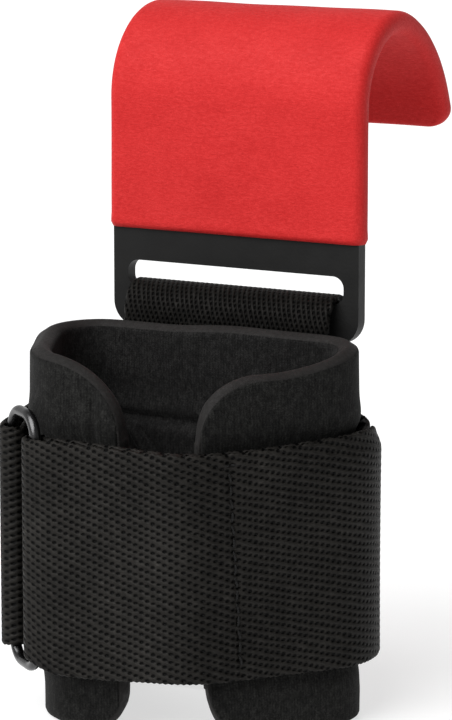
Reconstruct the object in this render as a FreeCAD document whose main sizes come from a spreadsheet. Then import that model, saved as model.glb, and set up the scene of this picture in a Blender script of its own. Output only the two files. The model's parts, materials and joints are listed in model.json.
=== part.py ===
"""Weight-lifting hook with a padded wrist cuff: a parametric FreeCAD model in millimetres.

Frame: +Z up along the forearm, +X across the hook, +Y from the wrist out past the back of the hook.
The origin is on the pad's bottom edge, in the middle of the pad's back wall.
"""
import FreeCAD, Part
import math
import os

Vector = FreeCAD.Vector
UP = Vector(0, 0, 1)

# Driving dimensions, in millimetres and degrees: alias, value, what it is.
SIZES = [
    ("pad_height", 101.0, "height of the wrist pad"),
    ("pad_thick", 6.0, "foam and both facings"),
    ("facing_thick", 0.7, "knit facing on each side of the foam"),
    ("gap_left", -3.2, "left flap's edge, along X"),
    ("gap_right", 20.8, "right flap's edge, along X"),
    ("flare_left", 16.0, "corner radius at the top of the left flap"),
    ("flare_right", 11.0, "corner radius at the top of the right flap"),
    ("flare_low", 12.0, "corner radius at the bottom of both flaps"),
    ("strap_low", 17.3, "lower edge of the closing strap"),
    ("strap_width", 62.5, "closing strap's webbing width"),
    ("strap_thick", 1.6, "closing strap's webbing thickness"),
    ("tape_thick", 0.6, "hook tape and loop tape, each"),
    ("layer_gap", 0.1, "air between layers sewn to each other"),
    ("free_gap", 0.3, "air between layers that move on each other"),
    ("loop_width", 62.0, "width of the webbing that holds the hook"),
    ("loop_thick", 2.0, "thickness of that webbing"),
    ("eye_radius", 6.2, "inside radius of the webbing's eye round the bar"),
    ("webbing_low", 24.0, "lower end of that webbing's legs"),
    ("leg_lean", 38.0, "degrees that its rear leg leans in below the eye"),
    ("swing_y", 11.7, "hook's swing axis, along Y"),
    ("swing_z", 103.5, "hook's swing axis, height"),
    ("plate_thick", 4.0, "steel plate"),
    ("plate_width", 75.4, "steel plate, across"),
    ("plate_low", 98.0, "lower edge of the plate"),
    ("plate_corner", 7.0, "plate's lower corner radius"),
    ("slot_low", 109.0, "lower edge of the slot"),
    ("slot_high", 116.7, "upper edge of the slot"),
    ("slot_width", 66.4, "slot, end to end"),
    ("slot_corner", 3.2, "slot's corner radius"),
    ("cover_thick", 1.2, "rubber cover, each side"),
    ("cover_low", 125.7, "lower edge of the cover"),
    ("bend_z", 161.4, "height of the first bend's centre"),
    ("bend_radius", 23.8, "first bend, outer face of the plate"),
    ("bend_turn", 112.0, "degrees that the first bend turns"),
    ("tail_radius", 40.8, "second bend, outer face of the plate"),
    ("tail_turn", 46.5, "degrees that the second bend turns"),
    ("tip_length", 7.1, "straight run at the tip"),
    ("tip_corner", 5.0, "tip's corner radius"),
    ("wire_radius", 1.5, "ring's wire"),
    ("ring_span", 17.0, "ring's bars, centre to centre"),
    ("ring_low", 14.6, "lowest point of the ring"),
    ("ring_high", 85.8, "highest point of the ring"),
    ("ring_corner", 6.2, "ring's corners, on the wire's centre line"),
    ("fold_radius", 2.1, "inside radius of the folds round the ring's bars"),
    ("fold_low", 20.8, "lower edge of both folds"),
    ("keeper_low", 19.0, "lower edge of the ring's keeper"),
    ("thread_radius", 0.3, "sewing thread"),
    ("thread_lift", 0.05, "air under the thread, which lies on the webbing"),
    ("stitch_pitch", 3.4, "from one stitch to the next"),
    ("seam_pitch", 2.6, "from one stitch to the next in the tail's seam"),
    ("seam_margin", 4.0, "webbing left beyond the ends of a seam"),
    ("leg_rows_low", 81.8, "lower row of stitches across the hook's webbing"),
    ("leg_rows_high", 83.7, "upper row of stitches across the hook's webbing"),
    ("box_margin", 8.0, "from the straps' edges to the box stitching"),
]

# The cuff is wrapped round four posts, counterclockwise from the right of the back. Each row is a post:
# its centre along X and Y, and the pad's outer radius round it.
BACK_RIGHT, BACK_LEFT, FRONT_LEFT, FRONT_RIGHT = range(4)
PAD_POSTS = [(33.0, -10.2, 13.2), (-30.5, -11.5, 14.5), (-19.3, -35.0, 17.1), (10.0, -33.5, 17.5)]
# The straps stand off the pad at the back, where the hook's webbing lies between them. Their radii are
# those of the inner face of the first layer.
STRAP_POSTS = [(30.2, -8.6, 16.6), (-30.3, -9.0, 17.0), (-19.1, -35.0, 17.5), (10.0, -33.5, 17.8)]
BARS_AT = 231.6         # degrees round the front left post: the middle of the ring
TAIL_END = 42.0         # degrees round the back right post: where the strap's tail ends

# Places on straight runs, as shares of the run.
RUN_END = 0.53          # end of the strap's inner run, across the back from the right
KEEPER_START = 0.57     # start of the keeper, across the back from the right
SEAM = 0.07             # the tail's seam, from front right to back right
LOOP_START = 0.01       # start of the loop tape, on the same run
HOOK_START = 0.10       # start of the hook tape, on the same run
KEEPER_ROWS = (0.62, 0.72)  # the keeper's two rows of stitches, from back left to front left

# Ends of the box stitching along X, on the back of the cuff.
STRAP_BOX = (3.0, 24.0)
KEEPER_BOX = (-27.0, -6.0)

doc = FreeCAD.newDocument("lifting_hook")
sheet = doc.addObject("Spreadsheet::Sheet", "sizes")
for row, (alias, value, meaning) in enumerate(SIZES, start=1):
    sheet.set("A%d" % row, meaning)
    sheet.set("B%d" % row, str(value))
    sheet.setAlias("B%d" % row, alias)
doc.recompute()


def size(alias):
    return float(sheet.get(alias))


# ---------------------------------------------------------------- geometry in the plan: belts round posts

def polar(x, y, radius, degrees):
    turn = math.radians(degrees)
    return Vector(x + radius * math.cos(turn), y + radius * math.sin(turn), 0)


def line_normal(post, following):
    """Direction, in degrees, of the outward normal of the straight run from one post to the next."""
    dx, dy = following[0] - post[0], following[1] - post[1]
    lean = math.acos((post[2] - following[2]) / math.hypot(dx, dy))
    return math.degrees(math.atan2(dy, dx) - lean)


def grow(posts, amounts):
    return [(x, y, radius + amount) for (x, y, radius), amount in zip(posts, amounts)]


def on_run(posts, start, fraction):
    """A point of the belt on the straight run that leaves a post, as a post that the belt only touches."""
    here, there = posts[start % 4], posts[(start + 1) % 4]
    middle = [a + fraction * (b - a) for a, b in zip(here, there)]
    angle = line_normal(here, there)
    return (start + fraction, middle[0], middle[1], middle[2], angle, angle)


def route(posts, first, last):
    """Stations from first to last, counterclockwise: each has a centre, a radius and two normals.

    first and last are (post number, degrees) for a place on a post, or the result of on_run.
    """
    def ends(place):
        if len(place) > 2:
            return place[0], place
        number, degrees = place
        x, y, radius = posts[number % 4]
        return number, (number, x, y, radius, degrees, degrees)

    first_at, first_stop = ends(first)
    last_at, last_stop = ends(last)
    stops = [list(first_stop[1:])]
    for number in range(math.ceil(first_at), math.floor(last_at) + 1):
        x, y, radius = posts[number % 4]
        into = line_normal(posts[(number - 1) % 4], posts[number % 4])
        out = line_normal(posts[number % 4], posts[(number + 1) % 4])
        if number == first_at:
            into = first_stop[4]
        if number == last_at:
            out = last_stop[4]
        while out < into - 1e-6:
            out += 360
        while out - into >= 360:
            out -= 360
        if number == first_at:
            stops = []
        stops.append([x, y, radius, into, out])
    if last_at != math.floor(last_at):
        stops.append(list(last_stop[1:]))
    return stops


def belt_edges(stops, offset):
    """Lines and arcs of a belt, counterclockwise, at an offset outside the posts' radii."""
    edges, previous = [], None
    for x, y, radius, into, out in stops:
        start, end = polar(x, y, radius + offset, into), polar(x, y, radius + offset, out)
        if previous is not None and (start - previous).Length > 1e-6:
            edges.append(Part.LineSegment(previous, start))
        if out - into > 1e-6:
            circle = Part.Circle(Vector(x, y, 0), UP, radius + offset)
            edges.append(Part.ArcOfCircle(circle, math.radians(into), math.radians(out)))
        previous = end
    return edges


def belt_ends(stops, offset):
    first, last = stops[0], stops[-1]
    return (polar(first[0], first[1], first[2] + offset, first[3]),
            polar(last[0], last[1], last[2] + offset, last[4]))


def band_outline(stops, inner, outer):
    """A strip of webbing seen on edge: both faces and two square ends."""
    inner_first, inner_last = belt_ends(stops, inner)
    outer_first, outer_last = belt_ends(stops, outer)
    caps = [Part.LineSegment(inner_last, outer_last), Part.LineSegment(outer_first, inner_first)]
    return belt_edges(stops, inner) + belt_edges(stops, outer) + caps


def full_belt(posts, offset):
    return belt_edges(route(posts, on_run(posts, 3, 0.5), on_run(posts, 7, 0.5)), offset)


# ---------------------------------------------------------------- document helpers

def new_body(label):
    body = doc.addObject("PartDesign::Body", label)
    body.Label = label
    return body


def sketch_on(body, role, name, edges):
    plane = next(item for item in body.Origin.OriginFeatures if item.Role == role)
    sketch = body.newObject("Sketcher::SketchObject", name)
    sketch.AttachmentSupport = (plane, [""])
    sketch.MapMode = "FlatFace"
    sketch.addGeometry(edges, False)
    return sketch


def pad(body, sketch, length, both_ways=False):
    feature = body.newObject("PartDesign::Pad", sketch.Name + "_pad")
    feature.Profile = sketch
    feature.Midplane = both_ways
    feature.setExpression("Length", length)
    body.Tip = feature
    sketch.Visibility = False
    return feature


def pocket(body, sketch, length, both_ways=False, turned=False):
    """Cut a sketch out of a body, and make sure that it took material away."""
    doc.recompute()
    before = body.Shape.Volume
    feature = body.newObject("PartDesign::Pocket", sketch.Name + "_cut")
    feature.Profile = sketch
    feature.Midplane = both_ways
    feature.Reversed = turned
    feature.setExpression("Length", length)
    body.Tip = feature
    doc.recompute()
    assert body.Shape.Volume < before - 1.0, "pocket cuts nothing: " + sketch.Name
    return feature


def round_edges(body, name, radius, wanted):
    """Fillet the edges of a body's tip for which wanted(edge) is true."""
    doc.recompute()
    base = body.Tip
    picked = ["Edge%d" % (number + 1) for number, edge in enumerate(base.Shape.Edges) if wanted(edge)]
    assert picked, "no edges found for " + name
    feature = body.newObject("PartDesign::Fillet", name)
    feature.Base = (base, picked)
    feature.setExpression("Radius", radius)
    body.Tip = feature
    doc.recompute()
    return feature


def polygon(points):
    """Closed chain of lines through (x, y) points of a sketch."""
    corners = [Vector(x, y, 0) for x, y in points]
    return [Part.LineSegment(a, b) for a, b in zip(corners, corners[1:] + corners[:1])]


def standing_band(label, edges, low, height):
    """A piece that is one outline in the plan, raised from a height called low."""
    body = new_body(label)
    pad(body, sketch_on(body, "XY_Plane", label + "_plan", edges), height)
    body.setExpression("Placement.Base.z", low)
    return body


# ---------------------------------------------------------------- wrist pad

def flap_gap_outline():
    """Front view of the gap between the flaps: straight sides with flared corners, in X and Z."""
    left, right = size("gap_left"), size("gap_right")
    top, low = size("pad_height"), 0.0
    over = 1.0
    r_left, r_right, r_low = size("flare_left"), size("flare_right"), size("flare_low")

    def corner(x, z, radius, start):
        circle = Part.Circle(Vector(x, z, 0), UP, radius)
        return Part.ArcOfCircle(circle, math.radians(start), math.radians(start + 90))

    def line(xa, za, xb, zb):
        return Part.LineSegment(Vector(xa, za, 0), Vector(xb, zb, 0))

    return [
        corner(left - r_left, top - r_left, r_left, 0),
        line(left - r_left, top, left - r_left, top + over),
        line(left - r_left, top + over, right + r_right, top + over),
        line(right + r_right, top + over, right + r_right, top),
        corner(right + r_right, top - r_right, r_right, 90),
        line(right, top - r_right, right, low + r_low),
        corner(right + r_low, low + r_low, r_low, 180),
        line(right + r_low, low, right + r_low, low - over),
        line(right + r_low, low - over, left - r_low, low - over),
        line(left - r_low, low - over, left - r_low, low),
        corner(left - r_low, low + r_low, r_low, 270),
        line(left, low + r_low, left, top - r_left),
    ]


def pad_layer(label, outer, inner, trim):
    """One layer of the pad: a closed belt with the gap between the flaps cut out of its front."""
    body = new_body(label)
    plan = full_belt(PAD_POSTS, -outer) + full_belt(PAD_POSTS, -inner)
    sketch = sketch_on(body, "XY_Plane", label + "_plan", plan)
    pad(body, sketch, "sizes.pad_height - %g" % (2 * trim))
    gap = sketch_on(body, "XZ_Plane", label + "_gap", flap_gap_outline())
    gap.AttachmentOffset = FreeCAD.Placement(Vector(0, -trim, 30), FreeCAD.Rotation())
    pocket(body, gap, "60", turned=True)
    body.Placement.Base.z = trim
    return body


def make_pad():
    thick, facing, gap = size("pad_thick"), size("facing_thick"), size("layer_gap")
    skin_trim = 0.3
    pad_layer("pad_outer_facing", 0, facing, skin_trim)
    pad_layer("pad_foam", facing + gap, thick - facing - gap, 0.0)
    pad_layer("pad_lining", thick - facing, thick, skin_trim)


# ---------------------------------------------------------------- hook

def hook_profile(outer_grow, inner_grow, low, tip):
    """Side view of the bent plate, in Y and Z, thickened by the given amounts outside and inside."""
    front = size("swing_y") - size("plate_thick") / 2
    first = Vector(front + size("bend_radius"), size("bend_z"), 0)
    turned = 180 - size("bend_turn")
    ended = turned - size("tail_turn")
    reach = size("bend_radius") - size("tail_radius")
    second = polar(first.x, first.y, reach, turned)
    along = Vector(math.sin(math.radians(ended)), -math.cos(math.radians(ended)), 0)
    faces = []
    for inset in (-outer_grow, size("plate_thick") + inner_grow):
        r_first, r_second = size("bend_radius") - inset, size("tail_radius") - inset
        bottom = Vector(front + inset, low, 0)
        bend_start = Vector(front + inset, first.y, 0)
        bend_end = polar(second.x, second.y, r_second, ended)
        edges = [
            Part.LineSegment(bottom, bend_start),
            Part.ArcOfCircle(Part.Circle(first, UP, r_first), math.radians(turned), math.pi),
            Part.ArcOfCircle(Part.Circle(second, UP, r_second), math.radians(ended), math.radians(turned)),
            Part.LineSegment(bend_end, bend_end + along * tip),
        ]
        faces.append((bottom, edges, bend_end + along * tip))
    (bottom_out, outer, end_out), (bottom_in, inner, end_in) = faces
    return outer + inner + [Part.LineSegment(end_out, end_in), Part.LineSegment(bottom_in, bottom_out)]


def through_plate(degrees, low, high, half_width):
    """Test for the short edges through the plate at its sides, between two heights.

    degrees is the direction of the thickness there, in the side view.
    """
    direction = Vector(0, math.cos(math.radians(degrees)), math.sin(math.radians(degrees)))

    def wanted(edge):
        middle = edge.CenterOfMass
        at_side = abs(abs(middle.x) - half_width) < 1e-3
        if not at_side or not low < middle.z < high or edge.Curve.TypeId != "Part::GeomLine":
            return False
        return abs(edge.tangentAt(edge.FirstParameter).dot(direction)) > 0.999
    return wanted


def tip_direction():
    """Direction of the plate's thickness at its tip, in degrees in the side view."""
    return 180 - size("bend_turn") - size("tail_turn")


def rounded_slot(width, low, high, corner):
    """A rectangle with rounded corners, in X and Z."""
    half = width / 2
    edges = []
    centres = [(half - corner, high - corner, 0), (-half + corner, high - corner, 90),
               (-half + corner, low + corner, 180), (half - corner, low + corner, 270)]
    for x, z, start in centres:
        circle = Part.Circle(Vector(x, z, 0), UP, corner)
        edges.append(Part.ArcOfCircle(circle, math.radians(start), math.radians(start + 90)))
    for arc, following in zip(list(edges), edges[1:] + edges[:1]):
        edges.append(Part.LineSegment(arc.EndPoint, following.StartPoint))
    return edges


def make_hook_plate():
    body = new_body("hook_plate")
    profile = hook_profile(0, 0, size("plate_low"), size("tip_length"))
    sketch = sketch_on(body, "YZ_Plane", "plate_profile", profile)
    pad(body, sketch, "sizes.plate_width", both_ways=True)
    half = size("plate_width") / 2
    round_edges(body, "plate_corners", "sizes.plate_corner", through_plate(0, 90, 100, half))
    round_edges(body, "plate_tip", "sizes.tip_corner - sizes.cover_thick",
                through_plate(tip_direction(), 100, size("bend_z"), half))
    slot = rounded_slot(size("slot_width"), size("slot_low"), size("slot_high"), size("slot_corner"))
    pocket(body, sketch_on(body, "XZ_Plane", "plate_slot", slot), "60", both_ways=True)
    return body


def make_hook_cover():
    """Rubber sleeve dipped over the plate: its outer form less a cavity a hair larger than the plate."""
    body = new_body("hook_cover")
    thick, fit = size("cover_thick"), 0.05
    outer = hook_profile(thick, thick, size("cover_low"), size("tip_length") + thick)
    pad(body, sketch_on(body, "YZ_Plane", "cover_profile", outer),
        "sizes.plate_width + 2 * sizes.cover_thick", both_ways=True)
    half = size("plate_width") / 2 + thick
    round_edges(body, "cover_tip", "sizes.tip_corner",
                through_plate(tip_direction(), 130, size("bend_z"), half))
    cavity = hook_profile(fit, fit, size("cover_low") - 1, size("tip_length") + fit)
    pocket(body, sketch_on(body, "YZ_Plane", "cover_cavity", cavity),
           "sizes.plate_width + %g" % (2 * fit), both_ways=True)
    return body


# ---------------------------------------------------------------- webbing that holds the hook

def make_hook_webbing():
    """Webbing folded round the plate's lower bar: a tall teardrop eye, then two legs sewn together."""
    axis_y, axis_z = size("swing_y"), size("swing_z")
    thick, eye = size("loop_thick"), size("eye_radius")
    outer = eye + thick
    front, low = axis_y - outer, size("webbing_low")
    back = front + 2 * thick
    # The rear leg drops level with the axis and then leans in to meet the front leg.
    lean = math.radians(size("leg_lean"))
    turn = Vector(math.cos(lean), -math.sin(lean), 0)
    leave_out = Vector(axis_y, axis_z, 0) + turn * outer
    leave_in = Vector(axis_y, axis_z, 0) + turn * eye
    slope = math.tan(lean)
    meet_out = leave_out.y - (leave_out.x - back) / slope
    meet_in = leave_in.y - (leave_in.x - (front + thick)) / slope
    circle_out = Part.Circle(Vector(axis_y, axis_z, 0), UP, outer)
    circle_in = Part.Circle(Vector(axis_y, axis_z, 0), UP, eye)
    outline = [
        Part.LineSegment(Vector(front, low, 0), Vector(front, axis_z, 0)),
        Part.ArcOfCircle(circle_out, -lean, math.pi),
        Part.LineSegment(leave_out, Vector(back, meet_out, 0)),
        Part.LineSegment(Vector(back, meet_out, 0), Vector(back, low, 0)),
        Part.LineSegment(Vector(back, low, 0), Vector(front, low, 0)),
    ]
    hollow = [
        Part.LineSegment(Vector(front + thick, meet_in, 0), Vector(front + thick, axis_z, 0)),
        Part.ArcOfCircle(circle_in, -lean, math.pi),
        Part.LineSegment(leave_in, Vector(front + thick, meet_in, 0)),
    ]
    body = new_body("hook_webbing")
    pad(body, sketch_on(body, "YZ_Plane", "webbing_profile", outline + hollow),
        "sizes.loop_width", both_ways=True)
    return body


# ---------------------------------------------------------------- closing strap, tapes and keeper

LAYER = {}


def plan_layers():
    """Distances of each strap face outside the first layer's inner face, post by post."""
    thick, tape = size("strap_thick"), size("tape_thick")
    tape_low = thick + size("layer_gap")
    hook_low = tape_low + tape + size("free_gap")
    tail_low = hook_low + tape + size("layer_gap")
    bar = thick + size("fold_radius")
    fold_low = bar + size("fold_radius")
    LAYER.update(tape=tape_low, hook=hook_low, tail=tail_low, bar=bar, fold=fold_low)


def bar_angles():
    """Normals, round the front left post, of the ring's rear bar (in the keeper) and front bar."""
    radius = STRAP_POSTS[FRONT_LEFT][2] + LAYER["bar"]
    half = math.degrees(math.asin(size("ring_span") / 2 / radius))
    return BARS_AT - half, BARS_AT + half


def bar_centre(degrees):
    x, y, radius = STRAP_POSTS[FRONT_LEFT]
    return polar(x, y, radius + LAYER["bar"], degrees)


def half_fold(centre, radius, degrees, towards_more):
    """Half circle of a fold round a bar, closed on the side of larger or smaller normals."""
    circle = Part.Circle(centre, UP, radius)
    start = math.radians(degrees if towards_more else degrees + 180)
    return Part.ArcOfCircle(circle, start, start + math.pi)


def folded_outline(run, back_run, degrees, towards_more):
    """A strip that runs to a bar, folds round it and comes back outside itself.

    run and back_run are the stations of the two layers, and back_run's radii are those of its own
    inner face. degrees is the normal at the bar.
    """
    thick, fold = size("strap_thick"), size("fold_radius")
    centre = bar_centre(degrees)
    run_in, run_out = belt_ends(run, 0), belt_ends(run, thick)
    back_in, back_out = belt_ends(back_run, 0), belt_ends(back_run, thick)
    free = 0 if towards_more else 1
    return (belt_edges(run, 0) + belt_edges(run, thick) + belt_edges(back_run, 0)
            + belt_edges(back_run, thick)
            + [half_fold(centre, fold, degrees, towards_more),
               half_fold(centre, fold + thick, degrees, towards_more),
               Part.LineSegment(run_in[free], run_out[free]),
               Part.LineSegment(back_in[free], back_out[free])])


def strap_runs():
    """Stations of the strap's inner run, its outer return and its tail."""
    front_bar = bar_angles()[1]
    run = route(STRAP_POSTS, (FRONT_LEFT, front_bar), on_run(STRAP_POSTS, 4, RUN_END))
    # Outside the seam the tapes lie between the layers; at the ring, its wire does.
    posts = grow(STRAP_POSTS, [LAYER["tail"], LAYER["tail"], LAYER["fold"], LAYER["tail"]])
    seam = SEAM
    half_cut = size("free_gap") / 2
    run_length = math.hypot(posts[0][0] - posts[3][0], posts[0][1] - posts[3][1])
    before = on_run(posts, FRONT_RIGHT, seam - half_cut / run_length)
    after = on_run(posts, FRONT_RIGHT, seam + half_cut / run_length)
    outer = route(posts, (FRONT_LEFT, front_bar), before)
    tail = route(posts, after, (4, TAIL_END))
    return run, outer, tail


def notch_below_fold(body, box, height):
    """Cut the strip's lower edge away, up to a height, inside a box of the plan: the ring turns there."""
    x_low, x_high, y_low, y_high = box
    corners = [(x_low, y_low), (x_high, y_low), (x_high, y_high), (x_low, y_high)]
    pocket(body, sketch_on(body, "XY_Plane", body.Label + "_notch", polygon(corners)), height, turned=True)


def make_strap():
    run, outer, tail = strap_runs()
    front_bar = bar_angles()[1]
    outline = folded_outline(run, outer, front_bar, towards_more=False)
    body = standing_band("closing_strap", outline, "sizes.strap_low", "sizes.strap_width")
    centre, clear, far = bar_centre(front_bar), size("wire_radius") + 1.0, 2 * size("ring_corner")
    notch_below_fold(body, (centre.x - far, centre.x + clear, centre.y - far, centre.y + far),
                     "sizes.fold_low - sizes.strap_low")

    tail_edges = band_outline(tail, 0, size("strap_thick"))
    standing_band("strap_tail", tail_edges, "sizes.strap_low", "sizes.strap_width")

    # The tapes are narrower than the strap.
    margin, tape_height = "sizes.strap_low + 3", "sizes.strap_width - 6"
    tape_posts = grow(STRAP_POSTS, [LAYER["tape"]] * 4)
    loop = route(tape_posts, on_run(tape_posts, FRONT_RIGHT, LOOP_START), (4, 80))
    standing_band("loop_tape", band_outline(loop, 0, size("tape_thick")), margin, tape_height)
    hook_posts = grow(STRAP_POSTS, [LAYER["hook"]] * 4)
    hook = route(hook_posts, on_run(hook_posts, FRONT_RIGHT, HOOK_START), (4, TAIL_END + 4))
    standing_band("hook_tape", band_outline(hook, 0, size("tape_thick")), margin, tape_height)
    return tail


def make_keeper():
    """Short webbing sewn on the cuff's back, folded round the ring's rear bar."""
    rear_bar = bar_angles()[0]
    back_start = on_run(STRAP_POSTS, BACK_RIGHT, KEEPER_START)
    run = route(STRAP_POSTS, back_start, (FRONT_LEFT, rear_bar))
    second = size("strap_thick") + size("layer_gap")
    posts = grow(STRAP_POSTS, [second, second, LAYER["fold"], LAYER["fold"]])
    outer = route(posts, on_run(posts, BACK_RIGHT, KEEPER_START), (FRONT_LEFT, rear_bar))
    outline = folded_outline(run, outer, rear_bar, towards_more=True)
    top = "sizes.strap_low + sizes.strap_width - sizes.keeper_low"
    body = standing_band("ring_keeper", outline, "sizes.keeper_low", top)
    centre, clear, far = bar_centre(rear_bar), size("wire_radius") + 1.0, 2 * size("ring_corner")
    notch_below_fold(body, (centre.x - far, centre.x + far, centre.y - far, centre.y + clear),
                     "sizes.fold_low - sizes.keeper_low")


# ---------------------------------------------------------------- ring

def make_ring():
    """Rectangular wire ring with round corners, standing between the keeper's fold and the strap's."""
    rear, front = (bar_centre(degrees) for degrees in bar_angles())
    wire, corner = size("wire_radius"), size("ring_corner")
    low, high = size("ring_low") + wire, size("ring_high") - wire
    across = (front - rear).normalize()
    middle = (front + rear) / 2
    half = size("ring_span") / 2

    def at(x, z):
        return middle + across * x + UP * z

    edges = []
    corners = [(half, high, -1, -1), (-half, high, 1, -1), (-half, low, 1, 1), (half, low, -1, 1)]
    ends = []
    for x, z, sx, sz in corners:
        cx, cz = x + sx * corner, z + sz * corner
        diagonal = corner * math.sqrt(0.5)
        side = at(x, cz)
        top = at(cx, z)
        ends.append((side, at(cx - sx * diagonal, cz - sz * diagonal), top))
    for number, (side, mid, top) in enumerate(ends):
        first, last = (side, top) if number % 2 == 0 else (top, side)
        following = ends[(number + 1) % 4]
        next_first = following[2] if number % 2 == 0 else following[0]
        edges.append(Part.Arc(first, mid, last).toShape())
        edges.append(Part.LineSegment(last, next_first).toShape())
    path = Part.Wire(edges)
    start = ends[0][0]
    section = Part.Wire([Part.Circle(start, UP, wire).toShape()])
    solid = path.makePipeShell([section], True, False)
    feature = doc.addObject("Part::Feature", "strap_ring")
    feature.Label = "strap_ring"
    feature.Shape = solid


# ---------------------------------------------------------------- stitching

def stitch(start, end):
    """One stitch of thread: a rod with round ends between two points."""
    radius = size("thread_radius")
    run = end - start
    rod = Part.makeCylinder(radius, run.Length, start, run)
    for place in (start, end):
        rod = rod.fuse(Part.makeSphere(radius, place))
    return rod.removeSplitter()


def stitch_row(first, last, pitch, lean=Vector(0, 0, 0)):
    """Stitches in a line from first to last, each crossing the line by lean."""
    along = last - first
    count = int(along.Length // pitch)
    step = along / count
    starts_at, ends_at = 0.2, 0.75
    return [stitch(first + step * (number + starts_at), first + step * (number + ends_at) + lean)
            for number in range(count)]


def add_stitching(label, stitches):
    feature = doc.addObject("Part::Feature", label)
    feature.Label = label
    feature.Shape = Part.makeCompound(stitches)


def stitched_box(left, right, face):
    """Stitches round a box on the cuff's back and across both its diagonals.

    One diagonal is whole and the other stops short of it, so that no two stitches meet.
    """
    pitch, margin = size("stitch_pitch"), size("box_margin")
    low = size("strap_low") + margin
    high = size("strap_low") + size("strap_width") - margin
    corners = [Vector(left, face, low), Vector(right, face, low),
               Vector(right, face, high), Vector(left, face, high)]
    rows, inset = [], 1.5
    for start, end in zip(corners, corners[1:] + corners[:1]):
        step = (end - start).normalize() * inset
        rows += stitch_row(start + step, end - step, pitch)
    for a, b, spans in ((0, 2, ((0.08, 0.92),)), (1, 3, ((0.08, 0.44), (0.56, 0.92)))):
        for start, end in spans:
            across = corners[b] - corners[a]
            rows += stitch_row(corners[a] + across * start, corners[a] + across * end, pitch)
    return rows


def make_stitching(tail):
    thread = size("thread_radius") + size("thread_lift")
    lift = size("strap_thick") + thread
    pitch, margin = size("stitch_pitch"), size("seam_margin")
    low, high = size("strap_low"), size("strap_low") + size("strap_width")

    # The seam that holds the hook tape, down the start of the tail.
    x, y, radius, degrees = tail[0][:4]
    turn = math.radians(degrees)
    along = Vector(-math.sin(turn), math.cos(turn), 0)
    place = polar(x, y, radius + lift, degrees) + along * 1.6
    add_stitching("tail_stitching", stitch_row(place + UP * (high - margin), place + UP * (low + margin),
                                               size("seam_pitch"), along * 0.5))

    # Two rows down the keeper, behind the ring, that close its fold.
    posts = grow(STRAP_POSTS, [size("strap_thick") + size("layer_gap")] * 2 + [LAYER["fold"]] * 2)
    keeper_low, rows = size("keeper_low"), []
    for fraction in KEEPER_ROWS:
        _, x, y, radius, degrees, _ = on_run(posts, BACK_LEFT, fraction)
        foot = polar(x, y, radius + lift, degrees)
        rows += stitch_row(foot + UP * (keeper_low + margin), foot + UP * (high - margin), pitch)
    add_stitching("keeper_fold_stitching", rows)

    # Two rows across the webbing's legs, just under the plate.
    half = size("loop_width") / 2 - margin
    rear = size("swing_y") - size("eye_radius") + size("loop_thick") + thread
    rows = []
    for height in (size("leg_rows_low"), size("leg_rows_high")):
        rows += stitch_row(Vector(-half, rear, height), Vector(half, rear, height), pitch)
    add_stitching("webbing_stitching", rows)

    # Boxes that hold the strap's start and the keeper to the cuff's back.
    run_face = STRAP_POSTS[BACK_RIGHT][1] + STRAP_POSTS[BACK_RIGHT][2] + lift
    keeper_face = run_face + size("strap_thick") + size("layer_gap")
    add_stitching("strap_anchor_stitching", stitched_box(*STRAP_BOX, run_face))
    add_stitching("keeper_anchor_stitching", stitched_box(*KEEPER_BOX, keeper_face))


# ---------------------------------------------------------------- build, check and write

plan_layers()
make_pad()
make_hook_plate()
make_hook_cover()
make_hook_webbing()
tail_stations = make_strap()
make_keeper()
make_ring()
make_stitching(tail_stations)
doc.recompute()

for item in doc.Objects:
    assert "Invalid" not in item.State and "Error" not in item.State, item.Label + " failed"

sub_parts = [item for item in doc.Objects if item.isDerivedFrom("PartDesign::Body")
             or item.TypeId == "Part::Feature"]
os.makedirs("parts", exist_ok=True)
for item in sub_parts:
    assert not item.Shape.isNull() and item.Shape.isValid(), item.Label + " has a bad shape"
for item in sub_parts:
    item.Shape.exportStep("parts/%s.step" % item.Label)
    box = item.Shape.BoundBox
    print("%-26s %9.1f mm3  solids %d  x %.1f %.1f  y %.1f %.1f  z %.1f %.1f" % (
        item.Label, item.Shape.Volume, len(item.Shape.Solids),
        box.XMin, box.XMax, box.YMin, box.YMax, box.ZMin, box.ZMax))
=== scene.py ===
"""Looks of a weight-lifting hook with a padded wrist cuff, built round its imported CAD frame.

Lengths are in millimetres in this file's own geometry and turn into metres when a mesh is made.
The frame is the CAD's: +Z up, +X across the hook, +Y from the wrist out past the back of the hook.
"""
import json
import math

import bmesh
import bpy
import numpy as np
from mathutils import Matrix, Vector


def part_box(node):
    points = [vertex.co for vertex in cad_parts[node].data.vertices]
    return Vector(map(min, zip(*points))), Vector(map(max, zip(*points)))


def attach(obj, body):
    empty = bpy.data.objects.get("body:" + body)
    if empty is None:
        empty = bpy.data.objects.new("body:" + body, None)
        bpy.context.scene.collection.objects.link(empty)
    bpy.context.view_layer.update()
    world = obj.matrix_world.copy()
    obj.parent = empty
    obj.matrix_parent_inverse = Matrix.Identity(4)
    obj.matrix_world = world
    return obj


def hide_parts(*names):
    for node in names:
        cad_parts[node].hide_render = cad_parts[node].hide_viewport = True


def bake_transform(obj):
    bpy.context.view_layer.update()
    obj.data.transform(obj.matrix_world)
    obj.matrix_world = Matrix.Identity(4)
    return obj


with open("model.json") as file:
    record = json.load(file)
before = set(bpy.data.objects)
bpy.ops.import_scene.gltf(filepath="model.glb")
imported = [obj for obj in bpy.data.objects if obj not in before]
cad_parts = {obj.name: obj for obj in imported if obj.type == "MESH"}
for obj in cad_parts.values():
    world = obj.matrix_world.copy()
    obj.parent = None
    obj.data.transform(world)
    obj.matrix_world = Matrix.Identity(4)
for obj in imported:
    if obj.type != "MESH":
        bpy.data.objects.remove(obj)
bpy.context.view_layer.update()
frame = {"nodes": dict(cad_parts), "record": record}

MM = 0.001
join = np.concatenate


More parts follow.
